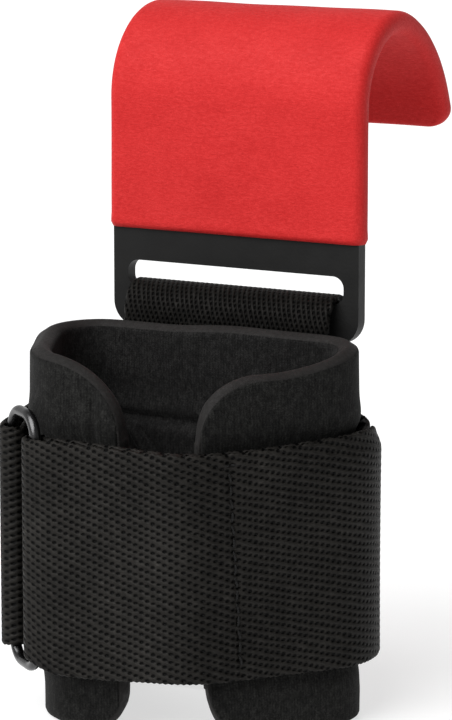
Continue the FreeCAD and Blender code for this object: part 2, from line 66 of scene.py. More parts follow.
def node_box(node):
    """Lowest and highest corners of a CAD node, in millimetres."""
    low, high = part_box(node)
    return np.array(low) / MM, np.array(high) / MM


# ---- curves and lines of points

def smooth(x):
    """0 below 0, 1 above 1, and an even S between them."""
    x = np.clip(x, 0, 1)
    return x * x * (3 - 2 * x)


def bell(value, centre, width):
    return np.exp(-((value - centre) / width) ** 2)


def rounded(distance, reach, drop):
    """How far a rounded corner's edge has come down, at a distance from its side."""
    inside = np.clip(1 - distance / reach, 0, 1)
    return drop * (1 - np.sqrt(1 - inside ** 2))


def compass(degrees):
    """Unit vectors at angles in a plane."""
    turns = np.radians(degrees)
    return np.stack([np.cos(turns), np.sin(turns)], -1)


def unit(vectors):
    return vectors / np.linalg.norm(vectors, axis=-1)[..., None]


def lengths(points):
    """Running length along a line of points."""
    return join([[0], np.cumsum(np.linalg.norm(np.diff(points, axis=0), axis=1))])


def read_off(wanted, along, values):
    """A line's values at other running lengths."""
    return np.stack([np.interp(wanted, along, column) for column in values.T], 1)


def resample(points, normals, step):
    """The same line with evenly spaced points."""
    along = lengths(points)
    wanted = np.linspace(0, along[-1], max(2, round(along[-1] / step)) + 1)
    return read_off(wanted, along, points), unit(read_off(wanted, along, normals))


def ease(values, kept):
    """Even out a line's values in place, except the first and last kept ones."""
    before, after = values[kept - 1:-kept - 1], values[kept + 1:len(values) - kept + 1]
    values[kept:-kept] = values[kept:-kept] * 0.5 + (before + after) * 0.25


# ---- plan of the cuff: belts round four posts

# Each post is its centre and the radius of the belt round it, counterclockwise from the back right.
BACK_RIGHT, BACK_LEFT, FRONT_LEFT, FRONT_RIGHT = range(4)
PAD_POSTS = [(33.0, -10.2, 13.2), (-30.5, -11.5, 14.5), (-19.3, -35.0, 17.1), (10.0, -33.5, 17.5)]
STRAP_POSTS = [(30.2, -8.6, 16.6), (-30.3, -9.0, 17.0), (-19.1, -35.0, 17.5), (10.0, -33.5, 17.8)]
PAD_THICK = 6.0
STRAP_THICK = 1.6
TAPES = 1.5             # both tapes and the air round them, between the strap's two layers
FOLD_RADIUS = 2.1       # inside of the folds round the ring's bars
FOLDED_OVER = STRAP_THICK + 2 * FOLD_RADIUS    # from the inner face to the layer beyond a fold
REAR_BAR, FRONT_BAR = 207.963, 255.237    # the ring's bars, in degrees round the front left post
SEAM = 0.07             # the tail's seam, as a share of the run from front right to back right
SEAM_MIDDLE = 50.0      # height of the seam's middle
TAIL_END = 42.0         # the tail's end, in degrees round the back right post
BELT_STEP, PAD_STEP = 0.3, 0.4    # between the points of the straps' belts, and of the pad's


def run_normal(post, following):
    """Outward normal, in degrees, of the straight run between two posts."""
    dx, dy = following[0] - post[0], following[1] - post[1]
    lean = math.acos((post[2] - following[2]) / math.hypot(dx, dy))
    return math.degrees(math.atan2(dy, dx) - lean)


def grow(posts, amounts):
    return [(x, y, radius + more) for (x, y, radius), more in zip(posts, amounts)]


def layer(extra):
    """The strap's posts, grown to the middle of a layer that starts extra outside the first one's face."""
    return grow(STRAP_POSTS, [value + STRAP_THICK / 2 for value in extra])


def on_run(posts, start, fraction):
    """A place on the straight run that leaves a post: its number, the circle it touches, the normal."""
    here, there = posts[start % 4], posts[(start + 1) % 4]
    touched = tuple(a + fraction * (b - a) for a, b in zip(here, there))
    return start + fraction, touched, run_normal(here, there)


def belt(posts, first, last, step):
    """Points and outward normals along a belt, counterclockwise, about step apart.

    first and last are (post number, degrees) on a post or the result of on_run.
    """
    def place(at):
        return at if len(at) == 3 else (at[0], posts[at[0] % 4], at[1])

    begin, first_post, first_angle = place(first)
    end, last_post, last_angle = place(last)
    stops = [(first_post, first_angle, first_angle)]
    for number in range(math.ceil(begin), math.floor(end) + 1):
        post = posts[number % 4]
        into = first_angle if number == begin else run_normal(posts[(number - 1) % 4], post)
        out = last_angle if number == end else run_normal(post, posts[(number + 1) % 4])
        out += 360 * math.ceil((into - out) / 360 - 1e-9)
        stops.append((post, into, out))
    stops.append((last_post, last_angle, last_angle))
    points, normals = [], []
    for (x, y, radius), into, out in stops:
        count = max(1, math.ceil(math.radians(out - into) * radius / step))
        around = compass(np.linspace(into, out, count + 1 if out > into else 1))
        arc = np.array([x, y]) + around * radius
        if points:
            gap = arc[0] - points[-1][-1]
            extra = int(np.hypot(*gap) / step)
            shares = np.arange(1, extra + 1)[:, None] / (extra + 1)
            points.append(points[-1][-1] + shares * gap)
            normals.append(np.repeat(around[:1], extra, 0))
        points.append(arc)
        normals.append(around)
    points, normals = join(points), join(normals)
    keep = join([[True], np.hypot(*np.diff(points, axis=0).T) > 1e-4])
    return points[keep], normals[keep]


# ---- meshes

def add_object(name, data):
    made = bpy.data.objects.new(name, data)
    bpy.context.scene.collection.objects.link(made)
    return made


def make_object(name, vertices, faces, material, uv=None):
    """A smooth mesh object from millimetre vertices and quads or other polygons."""
    mesh = bpy.data.meshes.new(name)
    mesh.from_pydata((np.asarray(vertices) * MM).tolist(), [], faces)
    if uv is not None:
        uv_map = mesh.uv_layers.new(name="cloth")
        corner = np.empty(len(mesh.loops), dtype=np.int32)
        mesh.loops.foreach_get("vertex_index", corner)
        uv_map.data.foreach_set("uv", np.asarray(uv, dtype=np.float32)[corner].ravel())
    mesh.polygons.foreach_set("use_smooth", [True] * len(mesh.polygons))
    mesh.materials.append(material)
    mesh.validate()
    mesh.update()
    fix_normals(mesh)
    return add_object(name, mesh)


def fix_normals(mesh):
    """Turn every face of a closed mesh outwards."""
    work = bmesh.new()
    work.from_mesh(mesh)
    bmesh.ops.recalc_face_normals(work, faces=work.faces)
    work.to_mesh(mesh)
    work.free()


def dress(piece, body, node):
    """Hang a piece on its body, in place of a CAD node."""
    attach(piece, body)
    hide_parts(node)


def numbers(start, count):
    return list(range(start, start + count))


def tube_faces(rows, columns, offset=0):
    """Quads of a tube whose vertex (i, j) is offset + i * columns + j."""
    i, j = np.meshgrid(np.arange(rows - 1), np.arange(columns), indexing="ij")
    i, beside = i * columns, (j + 1) % columns
    quads = np.stack([i + j, i + columns + j, i + columns + beside, i + beside], -1)
    return (quads.reshape(-1, 4) + offset).tolist()


WEFT = 1.62             # from one pinhole of the weave to the next, along the webbing
WARP = 1.94             # from one float to the next, across it
TWILL = 0.58            # how far each pinhole lies across from the one before
RELIEF = 0.13           # depth of the pinholes below the floats
SELVEDGE = 1.1          # width of the webbing's rounded edge, where its points lie closer


def weave_height(along, across):
    """Height of the twill webbing's face, from 0 in its pinholes to 1 on its floats."""
    ridge = 0.5 + 0.5 * np.cos(2 * np.pi * (across + along * TWILL / WEFT) / WARP)
    crossing = 0.5 + 0.5 * np.cos(2 * np.pi * along / WEFT)
    return ridge + (1 - ridge) * 0.45 * (1 - crossing)


def webbing(name, centres, normals, across, low, high, thick, material, picks=3, dent=None, skew=None,
            fine=1.0):
    """A strip of webbing along a line of 3-D points, with rounded selvedges and its weave in relief.

    across is the direction of its width, and low and high are its edges there. picks is how many points
    each float gets across, dent how far the strip is pushed outwards, skew how far its weave is drawn
    across, and fine how much closer the weave is than the wide strap's.
    """
    along = lengths(centres)
    width = np.mean(high - low)
    rim = np.array([0, 0.12, 0.35, 0.7])
    count = round((width - 2 * SELVEDGE) * picks * fine / WARP) + 1
    shelf = join([rim, np.linspace(SELVEDGE, width - SELVEDGE, count), (width - rim)[::-1]])
    shares = shelf / width
    edge = np.minimum(shelf, width - shelf)
    place = low[:, None] + (high - low)[:, None] * shares
    drawn = skew(along) if skew else np.zeros(len(along))
    bump = weave_height(fine * along[:, None], fine * shelf + drawn[:, None])
    nibble = 0.14 * np.cos(2 * np.pi * fine * along / WEFT)[:, None] * np.exp(-edge / 0.8)
    pushed = dent(along[:, None], place) if dent else 0.0
    place = place + nibble * np.sign(shares - 0.5)
    half = (1 - rounded(edge, 0.9, 1.0)) * (thick / 2 - RELIEF * (1 - bump))
    middle = centres[:, None, :] + np.asarray(across, float) * place[..., None]
    front, back = (middle + normals[:, None, :] * lift[..., None] for lift in (pushed + half, pushed - half))
    ring = join([front, back[:, -2:0:-1]], 1)
    rows, columns = ring.shape[:2]
    ring_shelf = np.tile(join([shelf, shelf[-2:0:-1]]), rows)
    uv = np.stack([fine * np.repeat(along, columns), fine * ring_shelf + np.repeat(drawn, columns)], 1)
    faces = tube_faces(rows, columns)
    # Each end is closed from the front face's points to the back face's.
    for row, turned in ((0, False), (rows - 1, True)):
        for j in range(len(shelf) - 1):
            quad = dict.fromkeys([j, j + 1, -(j + 1) % columns, -j % columns])
            quad = [row * columns + number for number in quad]
            faces.append(quad[::-1] if turned else quad)
    return make_object(name, ring.reshape(-1, 3), faces, material, uv)


def standing_webbing(name, points, normals, edges, thick=STRAP_THICK, **weave):
    """Webbing that stands on edge along a line of the plan; edges are its lower and upper one."""
    points, normals = np.insert(points, 2, 0, axis=1), np.insert(normals, 2, 0, axis=1)
    return webbing(name, points, normals, (0, 0, 1), *edges, thick, WEBBING, **weave)


# ---- materials

def feed(tree, socket, value):
    """Link a socket to a value or to another socket, or set it to a number or a colour."""
    value = value.socket if isinstance(value, Value) else value
    if isinstance(value, bpy.types.NodeSocket):
        tree.links.new(value, socket)
    else:
        socket.default_value = value


def add_node(tree, kind, **settings):
    """A new node. Settings that start with a capital are its inputs, the others its properties."""
    made = tree.nodes.new(kind)
    for key, value in settings.items():
        if key[0].isupper():
            feed(tree, made.inputs[key.replace("_", " ")], value)
        else:
            setattr(made, key, value)
    return made


class Value:
    """What a material works out at each place. Arithmetic on it adds the nodes that it needs."""

    def __init__(self, shader, socket):
        self.shader, self.socket = shader, socket

    def __add__(self, other):
        return self.shader.math("ADD", self, other)

    def __sub__(self, other):
        return self.shader.math("SUBTRACT", self, other)

    def __rsub__(self, other):
        return self.shader.math("SUBTRACT", other, self)

    def __mul__(self, other):
        return self.shader.math("MULTIPLY", self, other)

    def __pow__(self, other):
        return self.shader.math("POWER", self, other)

    def wave(self, period):
        """Cosine of a distance, from 0 to 1, with the given period."""
        return self.shader.math("COSINE", self * (2 * math.pi / period)) * 0.5 + 0.5

    def between(self, low, high, to_low=0.0, to_high=1.0):
        """The range from low to high spread from to_low to to_high, and held beyond it."""
        return self.shader.value("ShaderNodeMapRange", "Result", Value=self, From_Min=low, From_Max=high,
                                 To_Min=to_low, To_Max=to_high)


class Shader:
    """A principled material and short names for the nodes that feed it."""

    def __init__(self, name, **values):
        self.material = bpy.data.materials.new(name)
        self.material.use_nodes = True
        self.tree = self.material.node_tree
        self.set(**values)

    def set(self, **values):
        """Set or link inputs of the surface itself."""
        surface = self.tree.nodes["Principled BSDF"]
        for key, value in values.items():
            feed(self.tree, surface.inputs[key.replace("_", " ")], value)

    def value(self, kind, output, **settings):
        return Value(self, add_node(self.tree, kind, **settings).outputs[output])

    def math(self, operation, *values):
        made = add_node(self.tree, "ShaderNodeMath", operation=operation)
        for socket, value in zip(made.inputs, values):
            feed(self.tree, socket, value)
        return Value(self, made.outputs[0])

    def place(self, scale=(1, 1, 1)):
        """Position in the CAD's frame, stretched."""
        return self.value("ShaderNodeMapping", 0, Scale=scale,
                          Vector=self.value("ShaderNodeTexCoord", "Object"))

    def cloth(self):
        """Distances along and across a strip or sheet, in millimetres."""
        uv = self.value("ShaderNodeUVMap", 0, uv_map="cloth")
        split = add_node(self.tree, "ShaderNodeSeparateXYZ", Vector=uv)
        return Value(self, split.outputs["X"]), Value(self, split.outputs["Y"])

    def noise(self, vector, scale, detail=2.0, roughness=0.5):
        return self.value("ShaderNodeTexNoise", "Fac", Vector=vector, Scale=scale, Detail=detail,
                          Roughness=roughness)

    def streaks(self, x, y, detail=2.0, roughness=0.5):
        """Noise drawn out over the cloth."""
        return self.noise(self.value("ShaderNodeCombineXYZ", 0, X=x, Y=y), 1.0, detail, roughness)

    def cells(self, vector, scale, randomness=1.0):
        """Distance from the middle of the nearest of many small cells."""
        return self.value("ShaderNodeTexVoronoi", "Distance", Vector=vector, Scale=scale,
                          Randomness=randomness)

    def colours(self, value, *stops):
        """Colour from a value through (position, (r, g, b)) stops."""
        ramp = add_node(self.tree, "ShaderNodeValToRGB", Fac=value)
        elements = ramp.color_ramp.elements
        while len(elements) < len(stops):
            elements.new(0.5)
        for element, (position, colour) in zip(elements, stops):
            element.position = position
            element.color = (*colour, 1)
        self.set(Base_Color=ramp.outputs["Color"])

    def finished(self, roughness, height, distance, strength):
        """The finished material, with its roughness and its relief. distance is in metres."""
        relief = self.value("ShaderNodeBump", 0, Height=height, Distance=distance, Strength=strength)
        self.set(Roughness=roughness, Normal=relief)
        return self.material


def grey(value):
    return value, value, value


def webbing_material(name, lift=0.0):
    """Heavy nylon twill: rows of floats, each stepped down from the last, with pinholes between them. Its
    colour has painted shade in the pinholes and between the floats, and painted highlights on the floats.

    lift is painted light or painted shade on all of it: paler where it is above 0, darker where it is below
    0.
    """
    shader = Shader(name, Specular_IOR_Level=0.07)
    along, across = shader.cloth()
    drift = shader.streaks(along * 0.11, across * 0.35)
    across = across + drift.between(0.3, 0.7, -0.22, 0.22)
    pick = shader.math("ROUND", along * (1 / WEFT))
    beside = along - pick * WEFT
    stepped = pick * TWILL + (across - beside * 0.05)
    hole = (1 - stepped.wave(WARP)) ** 4.2 * along.wave(WEFT)
    slanted = along * (TWILL / WEFT) + across
    ridge = slanted.wave(WARP)
    gap = (1 - ridge) ** 4.0
    filaments = shader.streaks(along * 0.45, slanted * 5.0, 3.0, 0.6)
    # Painted highlights: lighter dashes along the floats.
    painted_glints = shader.streaks(along * 0.33, slanted * (1.0 / WARP), 2.0, 0.6)
    wear = shader.noise(shader.place(), 60.0, 3.0)
    # The colour is darker in the pinholes (hole) and in the valleys between the floats (gap): painted shade
    # in these recesses.
    shade = filaments * 0.40 + (0.24 + lift) - hole - gap * 0.07
    shade = shade + painted_glints.between(0.45, 0.72) * 0.16 + wear.between(0.35, 0.7, -0.05, 0.07)
    shader.colours(shade, (0.0, grey(0.0003)), (0.30, (0.0058, 0.0053, 0.0047)),
                   (0.62, (0.0225, 0.0210, 0.0190)), (0.90, (0.090, 0.085, 0.078)))
    return shader.finished(filaments.between(0.3, 0.7, 0.62, 0.42),
                           filaments * 0.15 + ridge * 0.7 - hole * 0.9, 0.0004, 1.0)


def knit_material(name, tint):
    """Fine jersey facing bonded to the foam: columns of stitches and a faint nap."""
    stitch_width, stitch_height = 0.85, 0.62
    shader = Shader(name, Sheen_Weight=0.03, Sheen_Roughness=0.6, Specular_IOR_Level=0.06)
    along, across = shader.cloth()
    wobble = shader.streaks(along * 0.12, across * 0.12)
    columns = (wobble * 0.5 + along).wave(stitch_width)
    stitch = columns * (across.wave(stitch_height) * 0.5 + 0.5)
    nap = shader.noise(shader.place(), 2100.0, 3.0, 0.65)
    heather = shader.noise(shader.place((1, 1, 0.6)), 800.0, 2.0, 0.6)
    tone = shader.noise(shader.place(), 35.0, 3.0)
    shade = stitch * 0.16 + nap.between(0.3, 0.7, -0.05, 0.45)
    shade = shade + heather.between(0.35, 0.65, -0.04, 0.26) + tone.between(0.3, 0.7, -0.05, 0.10)
    dark, pale = (tuple(times * value for value in tint) for times in (0.25, 2.9))
    shader.colours(shade, (0.05, dark), (0.40, tint), (0.85, pale))
    return shader.finished(nap.between(0.2, 0.8, 0.85, 0.7), stitch * 0.25 + nap, 0.00016, 0.6)


def foam_material():
    """Cut edge of closed-cell foam: paler than the facings, with fine cells and a soft sheen."""
    shader = Shader("foam_edge", Specular_IOR_Level=0.1, Sheen_Weight=0.02)
    place = shader.place()
    grain = shader.noise(place, 900.0, 4.0, 0.6)
    tone = shader.noise(place, 70.0)
    shader.colours(grain * 0.6 + tone * 0.4, (0.3, (0.0105, 0.010, 0.0095)),
                   (0.55, (0.0170, 0.0160, 0.0155)), (0.8, (0.028, 0.027, 0.026)))
    return shader.finished(grain.between(0.3, 0.7, 0.72, 0.6),
                           shader.cells(place, 2600.0) * 0.6 + grain, 0.00014, 0.6)


def rubber_material():
    """Red dipped rubber: matt, with a fine grain drawn out across the hook and faint mottling."""
    shader = Shader("red_dip", Specular_IOR_Level=0.13, Sheen_Weight=0.01, Sheen_Roughness=0.5)
    mottle = shader.noise(shader.place((1, 1, 1.6)), 55.0, 4.0, 0.6)
    grain = shader.noise(shader.place((0.45, 1, 1.2)), 1500.0, 4.0, 0.65)
    fine = shader.noise(shader.place((0.6, 1, 1)), 4200.0)
    shader.colours(mottle * 0.22 + grain * 0.42 + fine * 0.36, (0.36, (0.425, 0.0115, 0.0115)),
                   (0.5, (0.50, 0.0185, 0.0185)), (0.64, (0.59, 0.032, 0.031)))
    return shader.finished(grain.between(0.3, 0.7, 0.68, 0.52), fine * 0.5 + grain, 0.00018, 0.7)


def powder_material():
    """Black powder coat on the steel: satin, with an orange-peel texture and rubbed edges."""
    shader = Shader("black_powder_coat", Specular_IOR_Level=0.12)
    place = shader.place()
    peel = shader.noise(place, 1400.0)
    dust = shader.noise(place, 90.0, 4.0, 0.65)
    edge = shader.value("ShaderNodeNewGeometry", "Pointiness")
    shader.colours(dust * 0.6 + edge.between(0.53, 0.62, 0.0, 0.08), (0.2, (0.0085, 0.0085, 0.0084)),
                   (0.5, (0.0130, 0.0130, 0.0128)), (0.9, grey(0.029)))
    return shader.finished(dust.between(0.3, 0.7, 0.5, 0.4), peel, 0.00012, 0.5)


def ring_material():
    """Black nickel on drawn wire: dark mirror with fine rubbed scratches."""
    shader = Shader("black_nickel", Metallic=1.0)
    scratch = shader.noise(shader.place((1, 1, 0.12)), 1800.0, 3.0, 0.7)
    patch = shader.noise(shader.place(), 120.0, 3.0)
    shade = scratch * 0.4 + patch * 0.6
    shader.colours(shade, (0.3, (0.040, 0.040, 0.041)), (0.7, (0.105, 0.105, 0.106)))
    return shader.finished(shade.between(0.3, 0.7, 0.18, 0.34), scratch, 0.00003, 0.4)


def thread_material():
    """Bonded nylon thread with its twist."""
    shader = Shader("black_thread", Sheen_Weight=0.02, Specular_IOR_Level=0.2)
    twist = shader.value("ShaderNodeTexWave", "Fac", wave_type="BANDS", bands_direction="DIAGONAL",
                         Vector=shader.place(), Scale=900.0, Distortion=1.0)
    shader.colours(twist, (0.1, grey(0.0010)), (0.9, (0.0075, 0.0073, 0.0070)))
    return shader.finished(twist.between(0.0, 1.0, 0.6, 0.45), twist, 0.0001, 0.6)


def tape_material(name, scale, depth, dark, pale):
    """Hook or loop tape: a dense field of small points."""
    shader = Shader(name, Sheen_Weight=0.03, Specular_IOR_Level=0.15)
    place = shader.place()
    fuzz = shader.noise(place, scale * 2.3, 3.0, 0.7)
    shade = 0.6 - shader.cells(place, scale, 0.6) + fuzz * 0.5
    shader.colours(shade, (0.2, grey(dark)), (0.9, grey(pale)))
    return shader.finished(fuzz.between(0.2, 0.8, 0.9, 0.6), shade, depth, 1.0)


WEBBING = webbing_material("twill_webbing")
# A darker copy of the same webbing for the hook's loop: its darkness is painted shade, for the plate's shadow
# over the loop.
SHADED_LOOP_WEBBING = webbing_material("twill_webbing_painted_shade", -0.15)
OUTER_KNIT = knit_material("outer_knit", (0.0080, 0.0080, 0.0075))
LINING_KNIT = knit_material("lining_knit", (0.0084, 0.0082, 0.0080))
FOAM = foam_material()
RED_RUBBER = rubber_material()
POWDER_COAT = powder_material()
BLACK_NICKEL = ring_material()
THREAD = thread_material()
LOOP_TAPE = tape_material("loop_pile", 1300.0, 0.0004, 0.003, 0.03)
HOOK_TAPE = tape_material("hook_pile", 900.0, 0.0005, 0.004, 0.05)


def paint(node, material):
    """Give a CAD node that stays in view its finished material."""
    mesh = frame["nodes"][node].data
    if not mesh.materials:
        mesh.materials.append(material)
    for number in range(len(mesh.materials)):
        mesh.materials[number] = material


# ---- wrist pad

STRAP_LOW, STRAP_HIGH = (box[2] for box in node_box("closing_strap"))
STRAP_MIDDLE, STRAP_HALF = (STRAP_LOW + STRAP_HIGH) / 2, (STRAP_HIGH - STRAP_LOW) / 2
PAD_TOP = node_box("pad_foam")[1][2]
FACING = 0.35           # how far the bonded facings stand proud of the foam
FOAM_DOME, FACING_DOME, FACING_INSET = 0.7, 0.1, 0.9    # how far rims bulge, and stand back
FLAP_LEFT, FLAP_RIGHT = -2.9, 21.1      # the flaps' edges along X, at half height
FLAP_CREASES = ((7.5, 0.85, 93.0), (11.0, 0.25, 88.0), (15.5, 0.20, 86.0))    # from edge, depth, top
CREASE_WIDTH = 0.9
TURN_IN = 0.75          # share of their rounding that the pad's faces turn in by


def pad_line():
    """The pad's outer face in the plan, from the right flap round the back to the left flap."""
    (left, _, _), (right, _, radius) = PAD_POSTS[FRONT_LEFT], PAD_POSTS[FRONT_RIGHT]
    start = -math.degrees(math.acos((FLAP_RIGHT - right) / radius))
    end = on_run(PAD_POSTS, 4 + FRONT_LEFT, (FLAP_LEFT - left) / (right - left))
    points, normals = belt(PAD_POSTS, (FRONT_RIGHT, start), end, PAD_STEP)
    along = lengths(points)
    near = np.array([0, 0.15, 0.4, 0.8, 1.3, 1.9, 2.7, 3.6, 4.7])
    wanted = join([near, np.arange(5.6, along[-1] - 5.6, 0.9), along[-1] - near[::-1]])
    points, normals = read_off(wanted, along, points), read_off(wanted, along, normals)
    # Ease the turns, so that the foam bends like one thick sheet.
    for _ in range(40):
        ease(points, 10)
    for _ in range(90):
        ease(normals, 10)
    return wanted, points, unit(normals)


PAD_ALONG, PAD_POINTS, PAD_NORMALS = pad_line()
FROM_RIGHT, FROM_LEFT = PAD_ALONG, PAD_ALONG[-1] - PAD_ALONG
# The rim: low over the right flap, it climbs to the back and dips a little towards the left flap.
PAD_HIGH = (PAD_TOP - 0.4 + 0.10 * np.sin(PAD_ALONG / 15.0 + 0.6)
            - 4.5 + 5.8 * smooth((FROM_RIGHT - 20) / 38.0) - 1.3 * smooth((FROM_RIGHT - 90) / 25.0)
            - 0.9 * (1 - smooth((FROM_LEFT - 22) / 14.0))
            - rounded(FROM_RIGHT, 17.0, 16.0) - rounded(FROM_LEFT, 23.0, 20.0))
# The lower edge: round at the flaps' corners, and a little higher along the back.
PAD_LOW = (0.15 + rounded(FROM_RIGHT, 13.0, 14.0) + rounded(FROM_LEFT, 10.0, 10.0)
           + 1.6 * smooth((PAD_NORMALS[:, 1] - 0.7) / 0.25))


def lining_folds(x, height):
    """How far the lining stands in, where the strap's squeeze creases the back wall and folds it."""
    crease = 75.7 - 0.03 * (x + 26.0)
    pouch = 1.5 * smooth((crease - height) / 3.0) * smooth((height - 50) / 20.0)
    line = -25.5 + 0.78 * (74.0 - height)
    below = smooth((75.5 - height) / 3.0) * smooth((height - 52) / 8.0)
    spread = 1.0 + 0.06 * (75.0 - height)
    ridge = 2.2 * bell(x, line, spread)
    beside = 1.2 * bell(x, line + 2.6 * spread, 0.9) + 1.0 * bell(x, line - 2.8 * spread, 1.4)
    return pouch - 1.1 * bell(height, crease + 0.4, 0.9) + below * (ridge - beside)


def free_shape(column, height):
    """How far the pad stands out where no strap holds it."""
    from_right, from_left, along = FROM_RIGHT[column], FROM_LEFT[column], PAD_ALONG[column]
    # The foam's back left corner bellies out, and its left side is flatter.
    corner = 1.6 * bell(from_left, 66.0, 17.0) + 0.6 * bell(from_left, 84.0, 9.0)
    flat = 0.5 * bell(from_left, 39.0, 9.0) + 0.5 * bell(from_left, 28.0, 8.0)
    right = 0.6 * bell(from_right, 50.0, 12.0)
    swell = 0.20 * np.sin(along / 11.0 + height / 23.0) + 0.10 * np.sin(along / 5.1 - height / 9.0)
    return corner + right - flat + swell


def pad_point(column, height, depth):
    """Place of a pad vertex from its column, its height and how deep it lies below the outer face."""
    away = np.abs(height - STRAP_MIDDLE)
    normal, inner = PAD_NORMALS[column], depth / PAD_THICK
    under = smooth((STRAP_HALF + 2.5 - away) / 5.0)
    outward = 0.4 * bell(away, STRAP_HALF + 4.0, 3.0) - 0.5 * under
    outward = outward + (1 - under) * free_shape(column, height)
    # The lower left lobe draws in, because the strap pulls that side towards the ring.
    left = smooth((-normal[..., 0] - normal[..., 1] + 0.2) / 1.2)
    outward = outward - smooth((STRAP_HIGH - height) / 62.0) * (0.2 + 2.6 * left)
    # The lower right lobe stands out a little below the strap.
    outward = outward + 1.2 * smooth((17.0 - height) / 10.0) * smooth((normal[..., 0] - 0.3) / 0.5)
    # The lining folds along the back wall, and gives way under the strap everywhere else.
    back = smooth((normal[..., 1] - 0.5) / 0.4)
    outward = outward - inner * back * lining_folds(PAD_POINTS[column, 0], height)
    outward = outward - inner * 0.8 * smooth((STRAP_HALF - 1.5 - away) / 4.0) * (1 - back)
    # A shallow crease runs down the left flap beside its edge, and finer ones beside it.
    for distance, deep, top in FLAP_CREASES:
        groove = bell(FROM_LEFT[column], distance + 0.05 * (height - 80), CREASE_WIDTH)
        outward = outward - deep * groove * smooth((height - 70) / 4) * smooth((top - height) / 4)
    plan = PAD_POINTS[column] + normal * (outward - depth)[..., None]
    # On their way down the flaps' edges lean, the left one less and the other way.
    lean = 1.2 * (48 - height) / 33 * (bell(FROM_RIGHT[column], 0, 16) - 0.4 * bell(FROM_LEFT[column], 0, 16))
    tangent = np.stack([-normal[..., 1], normal[..., 0]], -1)
    return join([plan + tangent * lean[..., None], height[..., None]], -1)


def pad_shell(name, shallow, deep, inset, dome, material, trim=0):
    """A closed layer of the pad between two depths, its rim set back by inset and domed.

    trim is how many columns it stops short of the flaps' ends. Every column is a loop: up the outer face,
    over the rim, down the inner face and under.
    """
    column = np.arange(trim, len(PAD_ALONG) - trim)
    rise = join([[0, 0.6, 1.4, 2.6, 4.2], np.linspace(5.4, 95.4, 88), [97.0, 98.6, 99.4, 100]])
    rise, over = rise / 100, np.linspace(0, 1, 9)[1:-1]
    thickness = deep - shallow
    rounding = min(1.6, thickness / 2)
    turned = TURN_IN * rounding
    low, high = PAD_LOW[column] + inset, PAD_HIGH[column] - inset
    span = (high - low)[:, None]
    loops, uvs = [], []

    def lay(height, depth, wrapped):
        """Add points at heights and depths. wrapped is how far up the cloth each lies."""
        stand = np.broadcast_to(column[:, None], height.shape)
        loops.append(pad_point(stand, height, np.broadcast_to(depth, height.shape)))
        uvs.append(np.stack([PAD_ALONG[stand], wrapped], -1))

    for shares, edge, inside in ((rise, high, False), (rise[::-1], low, True)):
        height = low[:, None] + span * shares
        curl = TURN_IN * rounded(np.minimum(shares, 1 - shares) * span, rounding, rounding)
        lay(height, deep - curl if inside else shallow + curl, height)
        # Over the rim, or back under at the bottom.
        height = edge[:, None] + (-dome if inside else dome) * np.sin(np.pi * over)
        crossed = turned + (thickness - 2 * turned) * (over[::-1] if inside else over)
        lay(height, shallow + crossed, height + shallow + crossed)
    ring = join(loops, 1)
    columns, count = ring.shape[:2]
    vertices, uv = ring.reshape(-1, 3), join(uvs, 1).reshape(-1, 2)
    faces = tube_faces(columns, count)
    # The flaps' ends bulge a little past the last column, so that their edge is round too.
    up, rim = len(rise), len(over)
    for end, flip in ((0, False), (columns - 1, True)):
        base = end * count
        outer, inner = numbers(base, up), numbers(base + up + rim, up)[::-1]
        normal = PAD_NORMALS[column[end]]
        tangent = np.array([-normal[1], normal[0], 0]) * (1 if flip else -1)
        strips = [outer]
        for share in (0.2, 0.5, 0.8):
            bulge = dome * math.sin(math.pi * share)
            strips.append(numbers(len(vertices), up))
            bulged = vertices[outer] * (1 - share) + vertices[inner] * share + tangent * bulge
            vertices, uv = join([vertices, bulged]), join([uv, uv[outer] + [bulge, 0]])
        strips.append(inner)
        for first, second in zip(strips, strips[1:]):
            for i in range(up - 1):
                quad = [first[i], first[i + 1], second[i + 1], second[i]]
                faces.append(quad[::-1] if flip else quad)
        # Close the small gaps at the top and bottom of the end.
        top, bottom = numbers(base + up, rim), numbers(base + 2 * up + rim, rim)
        tops, bottoms = [strip[-1] for strip in strips], [strip[0] for strip in strips]
        for gap in ([tops[0]] + top + tops[:0:-1], [bottoms[-1]] + bottom + bottoms[:-1]):
            faces.append(gap if flip else gap[::-1])
    return make_object(name, vertices, faces, material, uv)


def make_pad():
    foam = pad_shell("wrist_pad_foam", FACING, PAD_THICK - FACING, 0.0, FOAM_DOME, FOAM)
    rim = (FACING_INSET, FACING_DOME)
    outer = pad_shell("wrist_pad_outer_facing", 0.0, 2 * FACING, *rim, OUTER_KNIT, trim=3)
    lining = pad_shell("wrist_pad_lining", PAD_THICK - 2 * FACING, PAD_THICK, *rim, LINING_KNIT, trim=3)
    dress(foam, "cuff", "pad_foam")
    dress(outer, "cuff", "pad_outer_facing")
    dress(lining, "cuff", "pad_lining")


# ---- hook: rubber cover

PLATE_HALF = 2.0        # half of the plate's thickness
BEND_HEIGHT = 161.4     # where the upright ends and the first bend starts
FIRST_BEND, SECOND_BEND = 23.8, 40.8    # radii of the plate's outer face
BENDS_MEET, BENDS_END = 68.0, 21.5      # where the outer face's normal points there, in degrees
TIP_RUN = 8.3           # from the second bend's end to the cover's tip
TIP_CORNER = 5.0        # radius of the cover's corners at the tip
COVER_HALF = 3.2        # half of the plate's and the cover's thickness together
COVER_EDGE = 2.9        # radius along the cover's long edges
COVER_WALL = 1.15       # its thickness, less a hair of air over the plate


